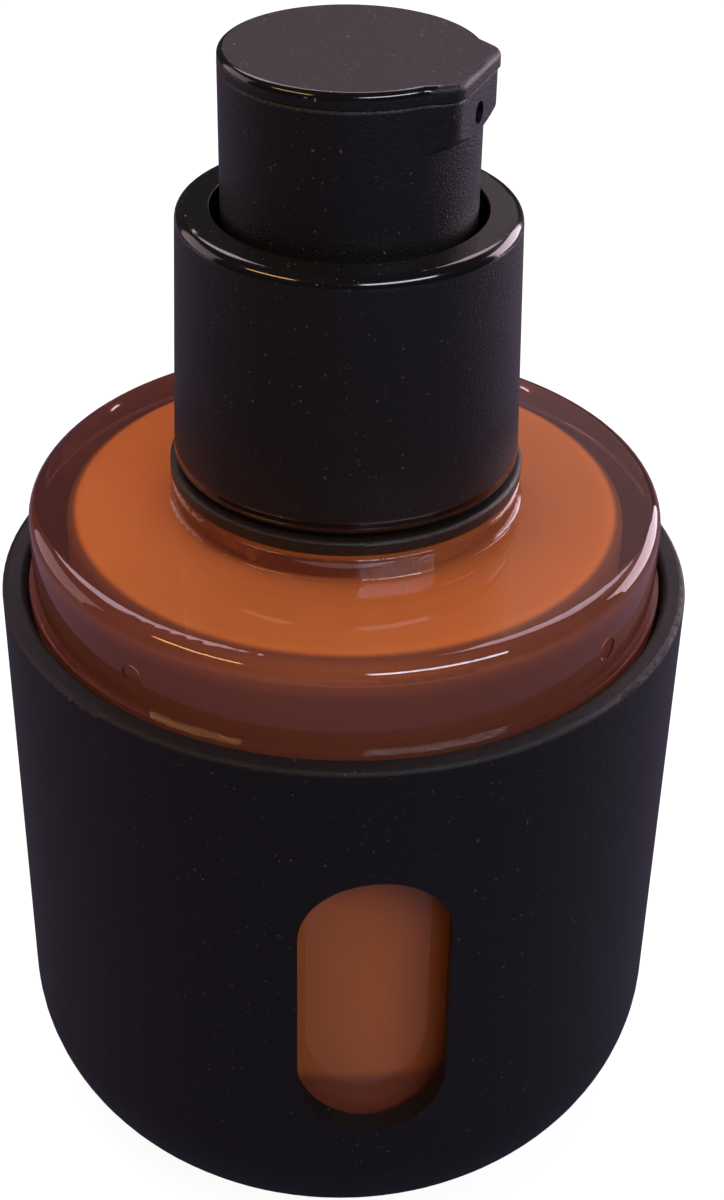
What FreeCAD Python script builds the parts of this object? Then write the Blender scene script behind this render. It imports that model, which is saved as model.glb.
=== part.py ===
"""Pump oil bottle: a thick glass bottle in a matt sleeve, with a threaded collar and a treatment pump.

Millimetres.  +Z is up, the origin is the centre of the flat base, and the sleeve's window faces -Y.
Every size is a cell of the Sizes sheet.  Radii and heights that follow from other sizes are named in
DERIVED, and each feature is bound to both kinds of name by an expression.
"""
import FreeCAD
import Part
import math
import os
import re
from FreeCAD import Vector
from Sketcher import Constraint

SIZES = {
    # sleeve
    "sleeve_radius": 25.0,
    "sleeve_wall": 1.65,
    "sleeve_height": 48.15,
    "sleeve_corner": 12.0,
    "rim_rounding": 0.45,
    "window_width": 10.7,
    "window_sill": 14.8,
    "window_lintel": 9.45,
    # glass bottle
    "pad_thickness": 0.4,
    "pad_inset": 2.5,
    "glass_gap": 0.65,
    "glass_wall": 2.7,
    "glass_base": 4.5,
    "glass_shoulder": 2.2,
    "shoulder_rounding": 1.2,
    "chamber_rounding": 1.5,
    "band_height": 6.45,
    "bead_gap": 0.3,
    "bead_height": 0.9,
    "bead_lap": 0.15,
    "mark_radius": 0.85,
    "mark_depth": 0.2,
    "mark_drop": 4.2,
    "bottle_turn": 136.2,
    "boss_height": 1.7,
    "boss_rounding": 0.3,
    "neck_height": 10.1,
    "neck_wall": 2.45,
    "thread_radius": 9.85,
    "thread_depth": 0.8,
    "thread_pitch": 3.175,
    "thread_turns": 1.25,
    "thread_root_half": 1.05,
    "thread_crest_half": 0.45,
    "thread_lead": 3.9,
    "fill_gap": 0.3,
    "fill_clearance": 0.6,
    # closure and collar
    "gasket_thickness": 0.8,
    "gasket_play": 0.1,
    "flange_thickness": 1.2,
    "flange_play": 0.5,
    "thread_play": 0.25,
    "closure_thread_depth": 0.7,
    "closure_root_half": 0.85,
    "closure_crest_half": 0.35,
    "closure_wall": 0.85,
    "closure_plate": 1.2,
    "closure_foot_gap": 0.2,
    "rim_height": 1.1,
    "rim_margin": 0.3,
    "rim_softening": 0.25,
    "shroud_play": 0.1,
    "shroud_top_wall": 0.55,
    "shroud_foot_wall": 1.15,
    "shroud_rib": 1.0,
    "collar_plate": 1.1,
    "collar_lip": 2.33,
    "collar_rounding": 0.8,
    "lip_rounding": 0.1,
    "foot_rounding": 0.9,
    "collar_lap": 1.3,
    # pump
    "stroke": 5.0,
    "running_gap": 0.05,
    "press_gap": 0.02,
    "barrel_bore": 4.0,
    "barrel_wall": 1.2,
    "barrel_floor": 1.5,
    "vent_radius": 0.4,
    "vent_drop": 1.9,
    "inlet_radius": 1.0,
    "tube_radius": 2.0,
    "tube_wall": 0.7,
    "socket_wall": 1.05,
    "socket_length": 5.0,
    "socket_land": 1.2,
    "tube_standoff": 1.95,
    "ball_radius": 1.6,
    "ball_travel": 1.0,
    "ball_side_gap": 0.4,
    "cage_thickness": 1.5,
    "cage_wall": 0.3,
    "cage_bar": 1.0,
    "spring_length": 12.4,
    "spring_wire": 0.32,
    "spring_radius": 2.95,
    "spring_turns": 6.0,
    "cap_reach": 1.2,
    "cap_play": 0.3,
    "cap_rise": 1.0,
    "cap_plug": 2.9,
    "wiper_width": 0.9,
    "wiper_height": 1.0,
    "wiper_inset": 0.2,
    "stem_radius": 2.2,
    "stem_bore": 1.1,
    "stem_stop": 1.2,
    "stem_stop_reach": 1.0,
    "stop_gap": 0.1,
    "rod_radius": 1.45,
    "rod_engagement": 2.7,
    "rod_slot": 1.0,
    "head_reach": 1.95,
    "valve_head": 1.0,
    "spring_pilot": 1.3,
    "pilot_gap": 0.35,
    "piston_length": 4.0,
    "piston_gap": 0.07,
    "piston_lip": 0.8,
    "piston_waist": 0.45,
    "piston_rod_gap": 0.3,
    "lost_motion": 0.8,
    # actuator
    "hole_clearance": 0.68,
    "skirt_clearance": 0.4,
    "skirt_wall": 0.95,
    "skirt_rounding": 0.3,
    "head_clearance": 1.35,
    "head_height": 3.3,
    "head_rounding": 0.3,
    "ceiling_drop": 1.65,
    "core_wall": 1.15,
    "core_clearance": 0.6,
    "core_land": 0.8,
    "nozzle_drop": 1.95,
    "nozzle_radius": 0.725,
    "spout_nose": 0.15,
    "spout_width": 7.6,
    "spout_root": 10.2,
    "spout_corner": 1.5,
    "spout_bevel": 1.5,
    "spout_angle": -28.0,
    "plate_thickness": 1.05,
    "plate_overhang": 0.18,
    "plate_rounding": 0.45,
    "peg_radius": 0.8,
    "peg_length": 1.6,
    "peg_inset": 3.2,
    "peg_spread": 3.4,
}

DERIVED = {
    # sleeve and glass
    "sleeve_bore": "sleeve_radius - sleeve_wall",
    "sleeve_inner_corner": "sleeve_corner - sleeve_wall",
    "sleeve_flat": "sleeve_radius - sleeve_corner",
    "pad_radius": "sleeve_flat - pad_inset",
    "glass_foot": "sleeve_wall + pad_thickness",
    "glass_radius": "sleeve_bore - glass_gap",
    "chamber_radius": "glass_radius - glass_wall",
    "chamber_floor": "glass_foot + glass_base",
    "chamber_corner": "sleeve_inner_corner - glass_wall",
    "shoulder_top": "sleeve_height + band_height",
    "chamber_top": "shoulder_top - glass_shoulder",
    "bead_radius": "sleeve_bore - bead_gap",
    "bead_top": "sleeve_height - bead_lap",
    "mark_centre": "shoulder_top - mark_drop",
    "boss_top": "shoulder_top + boss_height",
    "neck_root": "thread_radius - thread_depth",
    "neck_bore": "neck_root - neck_wall",
    "neck_top": "boss_top + neck_height",
    "thread_start": "boss_top + thread_lead",
    "fill_radius": "chamber_radius - fill_gap",
    "fill_top": "chamber_top - fill_gap",
    # closure and collar
    "closure_bore": "thread_radius + thread_play",
    "closure_radius": "closure_bore + closure_wall",
    "closure_foot": "boss_top + closure_foot_gap",
    "closure_thread_start": "thread_start - thread_pitch / 2",
    "flange_foot": "neck_top + gasket_thickness",
    "flange_top": "flange_foot + flange_thickness",
    "flange_radius": "closure_bore - flange_play",
    "closure_top": "flange_top + closure_plate",
    "shroud_bore": "closure_radius + shroud_play",
    "shroud_top_radius": "shroud_bore + shroud_top_wall",
    "shroud_foot_radius": "shroud_bore + shroud_foot_wall",
    "shroud_foot": "closure_foot + rim_height",
    "rim_radius": "shroud_foot_radius + rim_margin",
    "collar_hole": "shroud_top_radius - collar_lip",
    "collar_top": "skirt_foot + collar_lap",
    # pump
    "cap_radius": "barrel_bore + cap_reach",
    "cap_top": "closure_top + cap_rise",
    "cap_foot": "flange_top - cap_plug",
    "cap_bore": "stem_radius + running_gap",
    "wiper_radius": "cap_bore + wiper_width",
    "wiper_foot": "cap_top - wiper_inset - wiper_height",
    "barrel_radius": "barrel_bore + barrel_wall",
    "stop_top": "cap_foot - stop_gap",
    "stop_foot": "stop_top - stem_stop",
    "piston_top": "stop_foot - lost_motion",
    "piston_foot": "piston_top - piston_length",
    "head_foot": "piston_foot - valve_head",
    "cage_top": "head_foot - spring_length",
    "cage_foot": "cage_top - cage_thickness",
    "ball_centre": "cage_foot - ball_travel - ball_radius",
    "ball_chamber": "ball_radius + ball_side_gap",
    "seat_apex": "ball_centre - sqrt(2) * (ball_radius + running_gap)",
    "seat_foot": "seat_apex + inlet_radius",
    "seat_top": "seat_apex + ball_chamber",
    "tube_top": "seat_foot - socket_land",
    "tube_socket": "tube_radius + press_gap",
    "socket_radius": "tube_socket + socket_wall",
    "socket_foot": "tube_top - socket_length",
    "barrel_foot": "cage_foot - barrel_floor",
    "barrel_toe": "barrel_foot - barrel_radius + socket_radius",
    "tube_foot": "chamber_floor + tube_standoff",
    "cage_hole": "ball_chamber - cage_wall",
    "rod_top": "stop_foot + rod_engagement",
    "head_radius": "rod_radius + head_reach",
    "pilot_radius": "spring_radius - spring_wire - pilot_gap",
    "piston_radius": "barrel_bore - piston_gap",
    "piston_bore": "rod_radius + piston_rod_gap",
    # actuator
    "actuator_radius": "collar_hole - hole_clearance",
    "skirt_bore": "actuator_radius - skirt_wall",
    "skirt_foot": "closure_top + skirt_clearance + stroke",
    "ledge": "collar_top + stroke + head_clearance",
    "ceiling": "ledge - ceiling_drop",
    "head_top": "ledge + head_height",
    "nozzle_height": "head_top - nozzle_drop",
    "core_radius": "stem_radius + core_wall",
    "core_foot": "cap_top + stroke + core_clearance",
    "core_top": "nozzle_height - core_land",
    "stem_top": "ceiling - press_gap",
    "spout_reach": "actuator_radius + spout_nose",
    "plate_reach": "spout_reach + plate_overhang",
    "plate_top": "head_top + plate_thickness",
}

NAME = re.compile(r"[a-z][a-z_]*[a-z]")
TOLERANCE = 1e-4
HALF_TURN = 180.0

document = FreeCAD.newDocument("PumpOilBottle")
sheet = document.addObject("Spreadsheet::Sheet", "Sizes")
for row, (alias, number) in enumerate(SIZES.items(), start=1):
    sheet.set(f"A{row}", alias)
    sheet.set(f"B{row}", str(number))
    sheet.setAlias(f"B{row}", alias)
document.recompute()


def bound(text):
    """Return an expression in which every name is a cell of the sheet, with derived names spelled out."""
    def replace(match):
        word = match.group()
        if word in DERIVED:
            return f"({bound(DERIVED[word])})"
        return f"Sizes.{word}" if word in SIZES else word
    return NAME.sub(replace, text)


def value(text):
    """Return the number that an expression text stands for."""
    return float(sheet.evalExpression(bound(text)))


def plane(body, role):
    """Return one of the body's own origin planes or axes, such as XZ_Plane."""
    return next(feature for feature in body.Origin.OriginFeatures if feature.Role == role)


def new_body(label, turn=None):
    """Add an empty body with its label, turned about the vertical axis by an expression if it has one."""
    body = document.addObject("PartDesign::Body", label)
    body.Label = label
    body.Placement = FreeCAD.Placement(Vector(0, 0, 0), Vector(0, 0, 1), 0)
    if turn:
        body.setExpression("Placement.Rotation.Angle", bound(turn))
    return body


def new_sketch(body, name, role="XZ_Plane", offset=None):
    """Add a sketch on one of the body's origin planes, moved along the plane's normal by an expression."""
    sketch = body.newObject("Sketcher::SketchObject", name)
    sketch.AttachmentSupport = [(plane(body, role), "")]
    sketch.MapMode = "FlatFace"
    if offset:
        sketch.setExpression("AttachmentOffset.Base.z", bound(offset))
    return sketch


def pin_vertex(sketch, line, across, up):
    """Fix the start of a line at the distances that the two expressions give."""
    for kind, text, other_axis in (("DistanceX", across, -2), ("DistanceY", up, -1)):
        size = value(text)
        if abs(size) < TOLERANCE:
            sketch.addConstraint(Constraint("PointOnObject", line, 1, other_axis))
            continue
        index = sketch.addConstraint(Constraint(kind, -1, 1, line, 1, size))
        sketch.setExpression(f"Constraints[{index}]", bound(text))


def draw_outline(sketch, corners):
    """Draw a closed outline of straight lines through the corners, each fixed by two expressions."""
    points = [Vector(value(across), value(up), 0) for across, up in corners]
    first = sketch.GeometryCount
    for start, end in zip(points, points[1:] + points[:1]):
        sketch.addGeometry(Part.LineSegment(start, end))
    lines = list(range(first, sketch.GeometryCount))
    for line, following in zip(lines, lines[1:] + lines[:1]):
        sketch.addConstraint(Constraint("Coincident", line, 2, following, 1))
    for line, (across, up) in zip(lines, corners):
        pin_vertex(sketch, line, across, up)


def draw_circle(sketch, across, up, radius):
    """Draw a circle whose centre and radius follow expressions."""
    centre = Vector(value(across), value(up), 0)
    circle = sketch.addGeometry(Part.Circle(centre, Vector(0, 0, 1), value(radius)))
    index = sketch.addConstraint(Constraint("Radius", circle, value(radius)))
    sketch.setExpression(f"Constraints[{index}]", bound(radius))
    for kind, text, other_axis in (("DistanceX", across, -2), ("DistanceY", up, -1)):
        size = value(text)
        if abs(size) < TOLERANCE:
            sketch.addConstraint(Constraint("PointOnObject", circle, 3, other_axis))
            continue
        index = sketch.addConstraint(Constraint(kind, -1, 1, circle, 3, size))
        sketch.setExpression(f"Constraints[{index}]", bound(text))


def revolve(body, name, corners):
    """Turn an outline of radius and height corners about the vertical axis."""
    sketch = new_sketch(body, f"{name}_outline")
    draw_outline(sketch, corners)
    feature = body.newObject("PartDesign::Revolution", name)
    feature.Profile = sketch
    feature.ReferenceAxis = (sketch, ["V_Axis"])
    feature.Angle = 2 * HALF_TURN
    document.recompute()
    return feature


def groove(body, name, corners):
    """Cut away an outline turned about the vertical axis."""
    sketch = new_sketch(body, f"{name}_outline")
    draw_outline(sketch, corners)
    feature = body.newObject("PartDesign::Groove", name)
    feature.Profile = sketch
    feature.ReferenceAxis = (sketch, ["V_Axis"])
    feature.Angle = 2 * HALF_TURN
    document.recompute()
    return feature


def rims(shape, circles):
    """Return the names of the full circular edges about the axis at each radius and height."""
    wanted = [(value(radius), value(height)) for radius, height in circles]
    found = []
    for number, edge in enumerate(shape.Edges, start=1):
        curve = edge.Curve
        if not isinstance(curve, Part.Circle) or math.hypot(curve.Center.x, curve.Center.y) > TOLERANCE:
            continue
        for radius, height in wanted:
            if abs(curve.Radius - radius) < TOLERANCE and abs(curve.Center.z - height) < TOLERANCE:
                found.append(f"Edge{number}")
    return found


def dress(body, kind, name, size, edges):
    """Fillet or chamfer the named edges of the body's last feature."""
    if not edges:
        raise RuntimeError(f"{body.Label}: no edge for {name}")
    base = body.Tip
    feature = body.newObject(f"PartDesign::{kind}", name)
    feature.Base = (base, edges)
    prop = "Radius" if kind == "Fillet" else "Size"
    feature.setExpression(prop, bound(size))
    document.recompute()
    return feature


def round_rims(body, name, size, circles):
    """Round the circular edges at the given radii and heights."""
    return dress(body, "Fillet", name, size, rims(body.Shape, circles))


def thread(body, name, root, crest, root_half, crest_half, start):
    """Add a right-hand ridge of straight-sided section, winding up from the start height."""
    sketch = new_sketch(body, f"{name}_section")
    draw_outline(sketch, [
        (root, f"{start} - {root_half}"),
        (crest, f"{start} - {crest_half}"),
        (crest, f"{start} + {crest_half}"),
        (root, f"{start} + {root_half}"),
    ])
    helix = body.newObject("PartDesign::AdditiveHelix", name)
    helix.Profile = sketch
    helix.ReferenceAxis = (sketch, ["V_Axis"])
    helix.Mode = "pitch-turns-angle"
    helix.setExpression("Pitch", bound("thread_pitch"))
    helix.setExpression("Turns", bound("thread_turns"))
    document.recompute()
    return helix


def cut(body, sketch, name, length, away=False, midplane=False):
    """Pocket the sketch for a length, and stop if the cut takes nothing away."""
    before = body.Shape.Volume
    pocket = body.newObject("PartDesign::Pocket", name)
    pocket.Profile = sketch
    pocket.Type = "Length"
    pocket.setExpression("Length", bound(length))
    pocket.Reversed = away
    pocket.Midplane = midplane
    document.recompute()
    if body.Shape.Volume > before - TOLERANCE:
        raise RuntimeError(f"{body.Label}: {name} cuts nothing")
    return pocket


def pad(body, sketch, name, length):
    """Pad the sketch along its plane's normal."""
    feature = body.newObject("PartDesign::Pad", name)
    feature.Profile = sketch
    feature.setExpression("Length", bound(length))
    document.recompute()
    return feature


def outer_sleeve():
    """Matt cup with a broad rounded foot, open at the top, with an upright slot window at the front."""
    body = new_body("outer_sleeve")
    revolve(body, "shell", [
        ("0", "0"),
        ("sleeve_radius", "0"),
        ("sleeve_radius", "sleeve_height"),
        ("sleeve_bore", "sleeve_height"),
        ("sleeve_bore", "sleeve_wall"),
        ("0", "sleeve_wall"),
    ])
    round_rims(body, "foot", "sleeve_corner", [("sleeve_radius", "0")])
    round_rims(body, "inner_foot", "sleeve_inner_corner", [("sleeve_bore", "sleeve_wall")])
    round_rims(body, "rim", "rim_rounding", [
        ("sleeve_radius", "sleeve_height"),
        ("sleeve_bore", "sleeve_height"),
    ])
    sketch = new_sketch(body, "window_outline")
    slot(sketch, "window_width / 2", "window_sill", "sleeve_height - window_lintel")
    cut(body, sketch, "window", "sleeve_radius + sleeve_wall", away=True)
    return body


def slot(sketch, half_width, low, high):
    """Draw an upright slot with round ends, centred across the sketch."""
    radius = value(half_width)
    bottom = Vector(0, value(low) + radius, 0)
    top = Vector(0, value(high) - radius, 0)
    normal = Vector(0, 0, 1)
    upper = sketch.addGeometry(Part.ArcOfCircle(Part.Circle(top, normal, radius), 0, math.pi))
    lower = sketch.addGeometry(Part.ArcOfCircle(Part.Circle(bottom, normal, radius), math.pi, 2 * math.pi))
    side = Vector(radius, 0, 0)
    left = sketch.addGeometry(Part.LineSegment(top - side, bottom - side))
    right = sketch.addGeometry(Part.LineSegment(bottom + side, top + side))
    for first, first_end, second, second_end in (
        (upper, 2, left, 1), (left, 2, lower, 1), (lower, 2, right, 1), (right, 2, upper, 1),
    ):
        sketch.addConstraint(Constraint("Tangent", first, first_end, second, second_end))
    sketch.addConstraint(Constraint("PointOnObject", upper, 3, -2))
    sketch.addConstraint(Constraint("PointOnObject", lower, 3, -2))
    for kind, arc, text in (
        ("DistanceY", upper, f"{high} - {half_width}"), ("DistanceY", lower, f"{low} + {half_width}"),
    ):
        index = sketch.addConstraint(Constraint(kind, -1, 1, arc, 3, value(text)))
        sketch.setExpression(f"Constraints[{index}]", bound(text))
    index = sketch.addConstraint(Constraint("Radius", upper, radius))
    sketch.setExpression(f"Constraints[{index}]", bound(half_width))


def bottle_pad():
    """Thin round pad between the sleeve's floor and the glass."""
    body = new_body("bottle_pad")
    revolve(body, "disc", [
        ("0", "sleeve_wall"), ("pad_radius", "sleeve_wall"), ("pad_radius", "glass_foot"), ("0", "glass_foot"),
    ])
    return body


def glass_bottle():
    """Heavy glass bottle: flat shoulder, seating bead, boss, threaded neck and four shallow cap marks."""
    body = new_body("glass_bottle", turn="bottle_turn")
    revolve(body, "glass", [
        ("0", "glass_foot"),
        ("glass_radius", "glass_foot"),
        ("glass_radius", "bead_top - bead_height"),
        ("bead_radius", "bead_top - bead_height"),
        ("bead_radius", "bead_top"),
        ("glass_radius", "bead_top"),
        ("glass_radius", "shoulder_top"),
        ("rim_radius", "shoulder_top"),
        ("rim_radius", "boss_top"),
        ("neck_root", "boss_top"),
        ("neck_root", "neck_top"),
        ("neck_bore", "neck_top"),
        ("neck_bore", "chamber_top"),
        ("chamber_radius", "chamber_top"),
        ("chamber_radius", "chamber_floor"),
        ("0", "chamber_floor"),
    ])
    round_rims(body, "foot", "sleeve_inner_corner", [("glass_radius", "glass_foot")])
    round_rims(body, "chamber_foot", "chamber_corner", [("chamber_radius", "chamber_floor")])
    round_rims(body, "chamber_shoulder", "chamber_rounding", [("chamber_radius", "chamber_top")])
    round_rims(body, "shoulder", "shoulder_rounding", [("glass_radius", "shoulder_top")])
    round_rims(body, "boss", "boss_rounding", [("rim_radius", "boss_top"), ("rim_radius", "shoulder_top")])
    thread(body, "neck_thread", "neck_root - thread_depth / 4", "thread_radius",
           "thread_root_half", "thread_crest_half", "thread_start")
    sketch = new_sketch(body, "mark_outline", offset="glass_radius - mark_depth")
    draw_circle(sketch, "0", "mark_centre", "mark_radius")
    mark = cut(body, sketch, "mark", "glass_wall", away=True)
    ring = body.newObject("PartDesign::PolarPattern", "marks")
    ring.Originals = [mark]
    ring.Axis = (plane(body, "Z_Axis"), [""])
    ring.Angle = 2 * HALF_TURN
    ring.Occurrences = 4
    body.Tip = ring
    return body


def oil_fill():
    """The oil: it fills the chamber round the pump's barrel and dip tube."""
    body = new_body("oil_fill")
    revolve(body, "oil", [
        ("0", "chamber_floor"),
        ("fill_radius", "chamber_floor"),
        ("fill_radius", "fill_top"),
        ("barrel_radius + fill_clearance", "fill_top"),
        ("barrel_radius + fill_clearance", "barrel_toe - fill_clearance"),
        ("socket_radius + fill_clearance", "barrel_toe - fill_clearance"),
        ("socket_radius + fill_clearance", "socket_foot - fill_clearance"),
        ("tube_radius + fill_clearance", "socket_foot - fill_clearance"),
        ("tube_radius + fill_clearance", "tube_foot - fill_clearance"),
        ("0", "tube_foot - fill_clearance"),
    ])
    round_rims(body, "foot", "chamber_corner", [("fill_radius", "chamber_floor")])
    round_rims(body, "shoulder", "chamber_rounding", [("fill_radius", "fill_top")])
    return body


def neck_gasket():
    """Flat sealing ring between the neck's rim and the pump's flange."""
    body = new_body("neck_gasket")
    revolve(body, "ring", [
        ("barrel_radius + gasket_play", "neck_top"),
        ("flange_radius", "neck_top"),
        ("flange_radius", "flange_foot"),
        ("barrel_radius + gasket_play", "flange_foot"),
    ])
    return body


def pump_housing():
    """Pump barrel hung from its flange, with the inlet valve's seat and the dip tube's socket below."""
    body = new_body("pump_housing")
    revolve(body, "barrel", [
        ("barrel_bore", "flange_top"),
        ("flange_radius", "flange_top"),
        ("flange_radius", "flange_foot"),
        ("barrel_radius", "flange_foot"),
        ("barrel_radius", "barrel_foot"),
        ("socket_radius", "barrel_toe"),
        ("socket_radius", "socket_foot"),
        ("tube_socket", "socket_foot"),
        ("tube_socket", "tube_top"),
        ("inlet_radius", "tube_top"),
        ("inlet_radius", "seat_foot"),
        ("ball_chamber", "seat_top"),
        ("ball_chamber", "cage_foot"),
        ("barrel_bore", "cage_foot"),
    ])
    sketch = new_sketch(body, "vent_outline")
    draw_circle(sketch, "0", "piston_top - vent_drop", "vent_radius")
    cut(body, sketch, "vent", "barrel_radius + barrel_wall")
    return body


def housing_cap():
    """Cap plugged into the barrel's top, which guides the stem and holds the wiper ring."""
    body = new_body("housing_cap")
    revolve(body, "cap", [
        ("cap_bore", "cap_foot"),
        ("barrel_bore - press_gap", "cap_foot"),
        ("barrel_bore - press_gap", "flange_top"),
        ("cap_radius", "flange_top"),
        ("cap_radius", "cap_top"),
        ("wiper_radius + press_gap", "cap_top"),
        ("wiper_radius + press_gap", "wiper_foot"),
        ("cap_bore", "wiper_foot"),
    ])
    round_rims(body, "crown", "wiper_inset", [("cap_radius", "cap_top")])
    return body


def stem_wiper():
    """Soft ring that seals round the stem at the top of the pump."""
    body = new_body("stem_wiper")
    revolve(body, "ring", [
        ("cap_bore", "wiper_foot"),
        ("wiper_radius", "wiper_foot"),
        ("wiper_radius", "wiper_foot + wiper_height"),
        ("cap_bore", "wiper_foot + wiper_height"),
    ])
    return body


def dip_tube():
    """Tube pressed into the housing's socket, which reaches almost to the chamber's floor."""
    body = new_body("dip_tube")
    revolve(body, "tube", [
        ("tube_radius - tube_wall", "tube_foot"),
        ("tube_radius", "tube_foot"),
        ("tube_radius", "tube_top"),
        ("tube_radius - tube_wall", "tube_top"),
    ])
    return body


def inlet_ball():
    """Ball of the inlet check valve, resting over the conical seat."""
    ball = document.addObject("Part::Sphere", "inlet_ball")
    ball.Label = "inlet_ball"
    ball.setExpression("Radius", bound("ball_radius"))
    ball.Placement = FreeCAD.Placement(Vector(0, 0, value("ball_centre")), FreeCAD.Rotation())
    ball.setExpression("Placement.Base.z", bound("ball_centre"))
    return ball


def ball_cage():
    """Ring with a bar across it, which keeps the ball in its chamber and carries the spring."""
    body = new_body("ball_cage")
    revolve(body, "ring", [
        ("cage_hole", "cage_foot"),
        ("barrel_bore - press_gap", "cage_foot"),
        ("barrel_bore - press_gap", "cage_top"),
        ("cage_hole", "cage_top"),
    ])
    sketch = new_sketch(body, "bar_outline", "XY_Plane", "cage_foot")
    middle = "(cage_hole + barrel_bore) / 2"
    draw_outline(sketch, [
        (f"0 - {middle}", "0 - cage_bar / 2"),
        (middle, "0 - cage_bar / 2"),
        (middle, "cage_bar / 2"),
        (f"0 - {middle}", "cage_bar / 2"),
    ])
    pad(body, sketch, "bar", "cage_thickness")
    return body


def return_spring():
    """Coil spring with ground ends, between the cage and the valve head."""
    body = new_body("spring_coil")
    sketch = new_sketch(body, "wire_section")
    draw_circle(sketch, "spring_radius", "cage_top", "spring_wire")
    coil = body.newObject("PartDesign::AdditiveHelix", "coil")
    coil.Profile = sketch
    coil.ReferenceAxis = (sketch, ["V_Axis"])
    coil.Mode = "height-turns-angle"
    coil.setExpression("Height", bound("spring_length"))
    coil.setExpression("Turns", bound("spring_turns"))
    document.recompute()
    room = document.addObject("Part::Cylinder", "spring_room")
    room.setExpression("Radius", bound("barrel_bore"))
    room.setExpression("Height", bound("spring_length"))
    room.setExpression("Placement.Base.z", bound("cage_top"))
    spring = document.addObject("Part::Common", "return_spring")
    spring.Label = "return_spring"
    spring.Base = body
    spring.Tool = room
    return spring


def lower_stem():
    """Rod with the outlet valve's head and the spring's pilot, slotted for the oil to pass the piston."""
    body = new_body("lower_stem")
    revolve(body, "rod", [
        ("0", "head_foot - spring_pilot"),
        ("pilot_radius", "head_foot - spring_pilot"),
        ("pilot_radius", "head_foot"),
        ("head_radius", "head_foot"),
        ("head_radius", "piston_foot"),
        ("rod_radius", "piston_foot"),
        ("rod_radius", "rod_top"),
        ("0", "rod_top"),
    ])
    sketch = new_sketch(body, "slot_outline")
    draw_outline(sketch, [
        ("0 - rod_slot / 2", "piston_foot"),
        ("rod_slot / 2", "piston_foot"),
        ("rod_slot / 2", "rod_top + rod_slot"),
        ("0 - rod_slot / 2", "rod_top + rod_slot"),
    ])
    cut(body, sketch, "slot", "2 * head_radius", midplane=True)
    return body


def upper_stem():
    """Hollow stem from the piston up into the actuator, with a stop under the housing's cap."""
    body = new_body("upper_stem")
    revolve(body, "stem", [
        ("rod_radius + press_gap", "stop_foot"),
        ("stem_radius + stem_stop_reach", "stop_foot"),
        ("stem_radius + stem_stop_reach", "stop_top"),
        ("stem_radius", "stop_top"),
        ("stem_radius", "stem_top"),
        ("stem_bore", "stem_top"),
        ("stem_bore", "rod_top"),
        ("rod_radius + press_gap", "rod_top"),
    ])
    return body


def piston():
    """Sliding piston with a lip at each end, which opens and closes over the valve head."""
    body = new_body("piston")
    revolve(body, "piston_ring", [
        ("piston_bore", "piston_foot"),
        ("piston_radius", "piston_foot"),
        ("piston_radius", "piston_foot + piston_lip"),
        ("piston_radius - piston_waist", "piston_foot + piston_lip + piston_waist"),
        ("piston_radius - piston_waist", "piston_top - piston_lip - piston_waist"),
        ("piston_radius", "piston_top - piston_lip"),
        ("piston_radius", "piston_top"),
        ("piston_bore", "piston_top"),
    ])
    return body


def closure():
    """Threaded screw cap that clamps the pump's flange on the neck, with a rim showing below the collar."""
    body = new_body("closure", turn="bottle_turn")
    revolve(body, "cap", [
        ("closure_bore", "closure_foot"),
        ("rim_radius", "closure_foot"),
        ("rim_radius", "shroud_foot"),
        ("closure_radius", "shroud_foot"),
        ("closure_radius", "closure_top"),
        ("cap_radius + cap_play", "closure_top"),
        ("cap_radius + cap_play", "flange_top"),
        ("closure_bore", "flange_top"),
    ])
    round_rims(body, "rim", "rim_softening", [("rim_radius", "closure_foot"), ("rim_radius", "shroud_foot")])
    thread(body, "cap_thread", "closure_bore + thread_play", "closure_bore - closure_thread_depth",
           "closure_root_half", "closure_crest_half", "closure_thread_start")
    return body


def collar_shroud():
    """Tapered outer collar, seated on the closure's rim and top, with a flat top and a round hole."""
    body = new_body("collar_shroud")
    revolve(body, "shroud", [
        ("shroud_bore", "shroud_foot"),
        ("shroud_foot_radius", "shroud_foot"),
        ("shroud_top_radius", "collar_top"),
        ("collar_hole", "collar_top"),
        ("collar_hole", "collar_top - collar_plate"),
        ("shroud_bore", "collar_top - collar_plate"),
        ("shroud_bore", "closure_top + shroud_rib"),
        ("collar_hole", "closure_top + shroud_rib"),
        ("collar_hole", "closure_top"),
        ("shroud_bore", "closure_top"),
    ])
    round_rims(body, "crown", "collar_rounding", [("shroud_top_radius", "collar_top")])
    round_rims(body, "foot", "foot_rounding", [("shroud_foot_radius", "shroud_foot")])
    round_rims(body, "lip", "lip_rounding", [("collar_hole", "collar_top")])
    return body


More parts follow.
